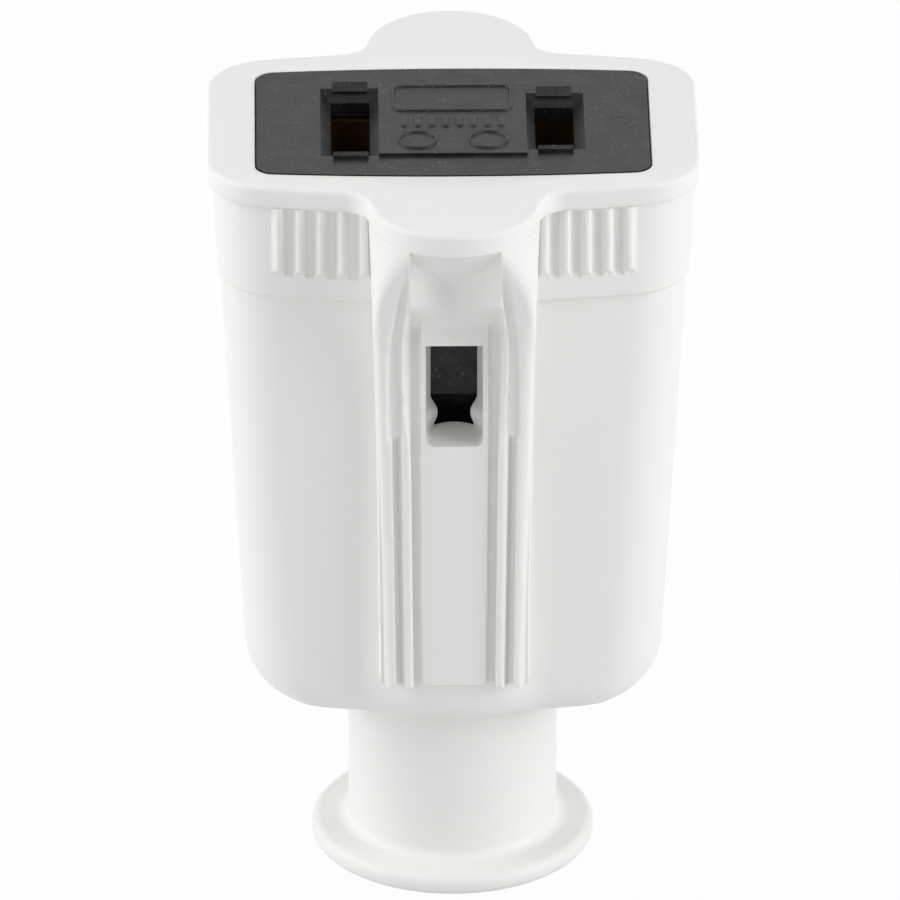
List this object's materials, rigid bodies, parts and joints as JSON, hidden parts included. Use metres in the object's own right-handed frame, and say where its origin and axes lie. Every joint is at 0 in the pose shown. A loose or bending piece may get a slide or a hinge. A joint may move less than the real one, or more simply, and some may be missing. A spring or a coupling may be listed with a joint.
{
  "type": "inline socket connector",
  "caption": "Inline socket connector: a white moulded cover with a round cord neck over a black contact block with two parallel blade slots.",
  "frame": {"origin": "centre of the flange's underside, where the part stands", "axes": "+Z points out of the slotted face, +X runs along the pitch of the slots from the neutral slot to the line slot, -Y is the front that the picture shows"},
  "size_m": [0.0306, 0.0326, 0.0504],
  "materials": {
    "cover_vinyl": "soft moulded white vinyl, satin",
    "block_plastic": "hard moulded black plastic, satin gloss",
    "contact_brass": "folded bare strip",
    "screw_silver": "plated",
    "screw_brass": "turned"
  },
  "bodies": {
    "root": {"cover": "cover_vinyl", "contact_block": "block_plastic", "block_base": "block_plastic", "neutral_contact": "contact_brass", "line_contact": "contact_brass", "neutral_screw": "screw_silver", "line_screw": "screw_brass", "base_screw": "screw_silver"}
  },
  "joints": []
}
